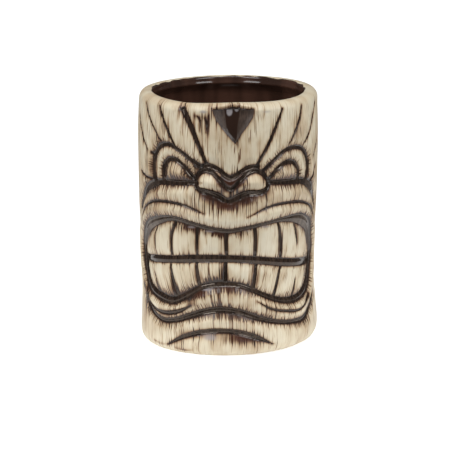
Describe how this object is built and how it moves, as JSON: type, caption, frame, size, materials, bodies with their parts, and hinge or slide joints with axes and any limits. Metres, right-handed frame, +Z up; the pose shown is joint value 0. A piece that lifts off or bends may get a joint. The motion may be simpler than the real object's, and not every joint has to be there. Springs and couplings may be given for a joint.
{
  "type": "tiki mug",
  "caption": "Carved-face ceramic drinking mug: cast clay cup with a grimacing totem face, dark glaze in the carved channels and dark glazed lining.",
  "frame": {"origin": "middle of the foot, on the table that the mug stands on", "axes": "+Z up through the opening, the carved face looks towards -Y, +X to the viewer's right"},
  "size_m": [0.0914, 0.0924, 0.129],
  "materials": {
    "clay": "cream glazed earthenware with a brown wash rubbed into the grain, satin to glossy",
    "lining_glaze": "dark red-brown glossy glaze",
    "channel_glaze": "dark brown glossy glaze pooled in carved grooves"
  },
  "bodies": {
    "root": {"bite_line_glaze": "channel_glaze", "brow_channel_glaze": "channel_glaze", "brow_ray_left_1_glaze": "channel_glaze", "brow_ray_left_2_glaze": "channel_glaze", "brow_ray_left_3_glaze": "channel_glaze", "brow_ray_left_4_glaze": "channel_glaze", "brow_ray_right_1_glaze": "channel_glaze", "brow_ray_right_2_glaze": "channel_glaze", "brow_ray_right_3_glaze": "channel_glaze", "cast_body": "clay", "chin_arc_glaze": "channel_glaze", "forehead_notch_glaze": "channel_glaze", "inner_eye_arch_left_glaze": "channel_glaze", "inner_eye_arch_right_glaze": "channel_glaze", "interior_glaze": "lining_glaze", "lower_lip_channel_glaze": "channel_glaze", "lower_lip_line_left_glaze": "channel_glaze", "lower_lip_line_right_glaze": "channel_glaze", "lower_tooth_gap_1_glaze": "channel_glaze", "lower_tooth_gap_2_glaze": "channel_glaze", "lower_tooth_gap_3_glaze": "channel_glaze", "lower_tooth_gap_4_glaze": "channel_glaze", "lower_tooth_gap_5_glaze": "channel_glaze", "lower_tooth_gap_6_glaze": "channel_glaze", "lower_tooth_gap_7_glaze": "channel_glaze", "mouth_channel_glaze": "channel_glaze", "nose_bridge_channel_glaze": "channel_glaze", "nose_crease_glaze": "channel_glaze", "outer_eye_arch_left_glaze": "channel_glaze", "outer_eye_arch_right_glaze": "channel_glaze", "smile_line_left_glaze": "channel_glaze", "smile_line_right_glaze": "channel_glaze", "under_eye_channel_left_glaze": "channel_glaze", "under_eye_channel_right_glaze": "channel_glaze", "under_nose_channel_glaze": "channel_glaze", "upper_tooth_gap_1_glaze": "channel_glaze", "upper_tooth_gap_2_glaze": "channel_glaze", "upper_tooth_gap_3_glaze": "channel_glaze", "upper_tooth_gap_4_glaze": "channel_glaze", "upper_tooth_gap_5_glaze": "channel_glaze", "upper_tooth_gap_6_glaze": "channel_glaze", "upper_tooth_gap_7_glaze": "channel_glaze"}
  },
  "joints": []
}
